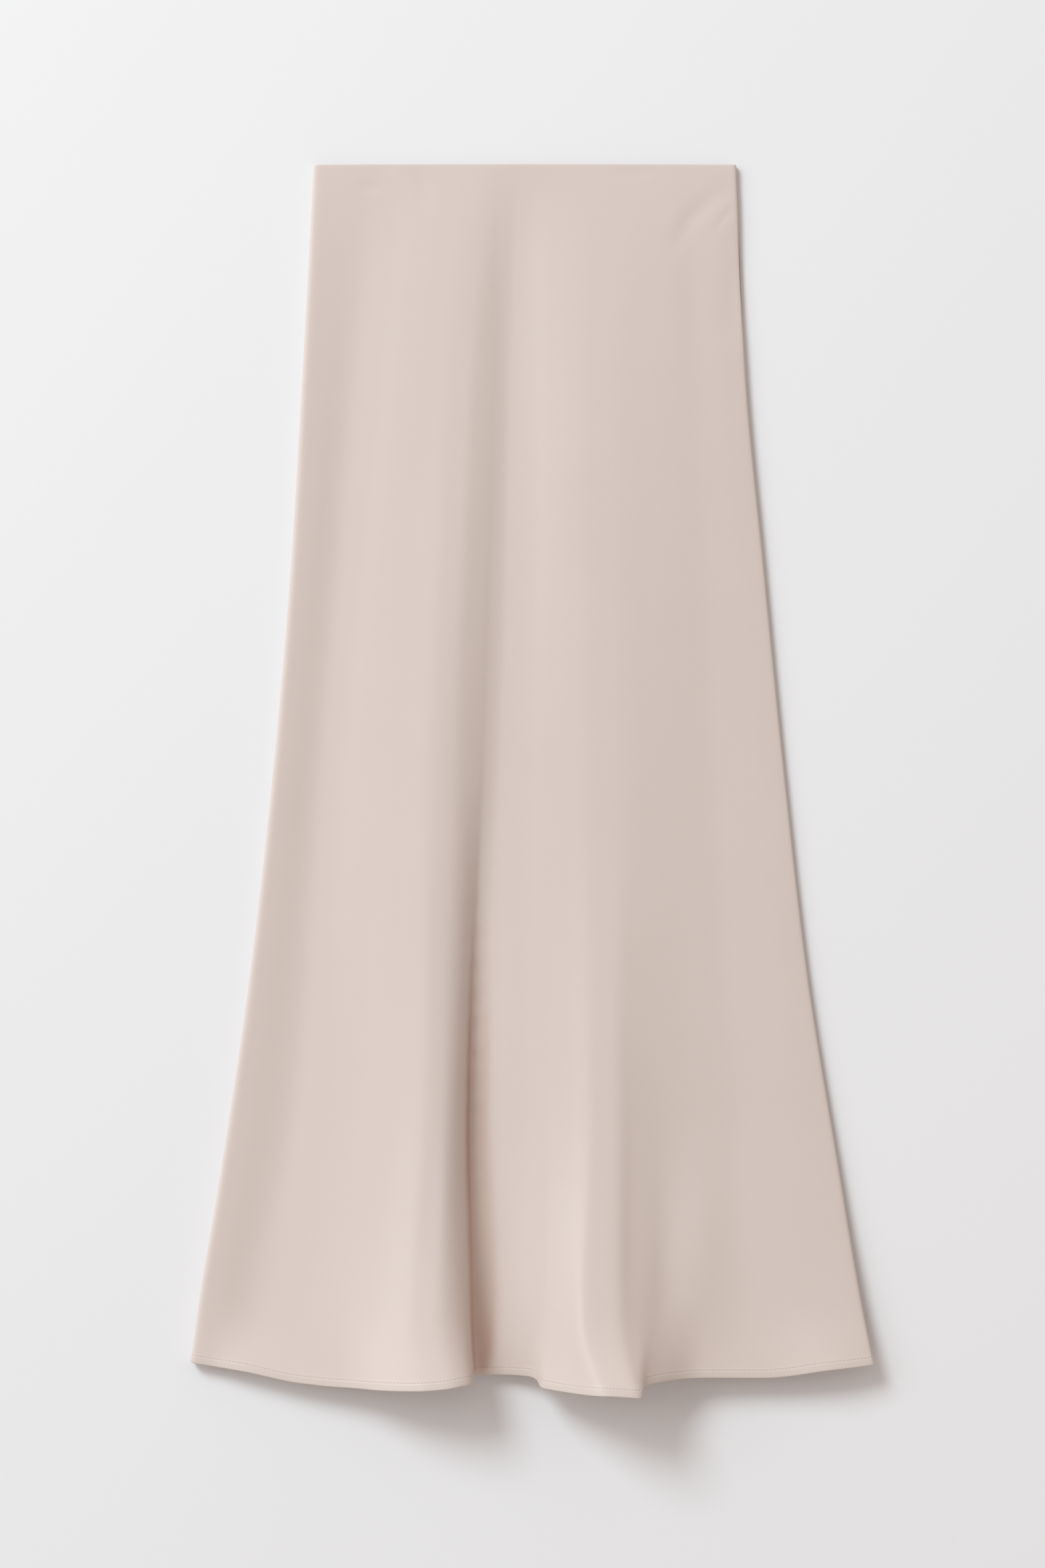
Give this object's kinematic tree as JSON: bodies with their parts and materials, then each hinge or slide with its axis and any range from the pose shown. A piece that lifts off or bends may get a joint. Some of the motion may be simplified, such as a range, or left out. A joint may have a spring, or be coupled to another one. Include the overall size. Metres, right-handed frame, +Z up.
{
  "type": "slip skirt",
  "caption": "Long A-line slip skirt in dull satin, cut on the bias and laid flat, with soft folds that open into hollows at the hem.",
  "frame": {"origin": "on the surface that the skirt lies on, under the middle of its box", "axes": "+Z up from the surface, +Y from the hem to the waist, +X to the right as seen from above with the waist at the top"},
  "size_m": [0.5418, 0.9706, 0.068],
  "materials": {
    "satin": "dull satin, champagne blush",
    "zip_nylon": "woven tape and nylon coil"
  },
  "bodies": {
    "root": {"front_panel": "satin", "back_panel": "satin", "front_hem": "satin", "back_hem": "satin", "front_waist_turning": "satin", "back_waist_turning": "satin", "side_zip": "zip_nylon"}
  },
  "joints": []
}
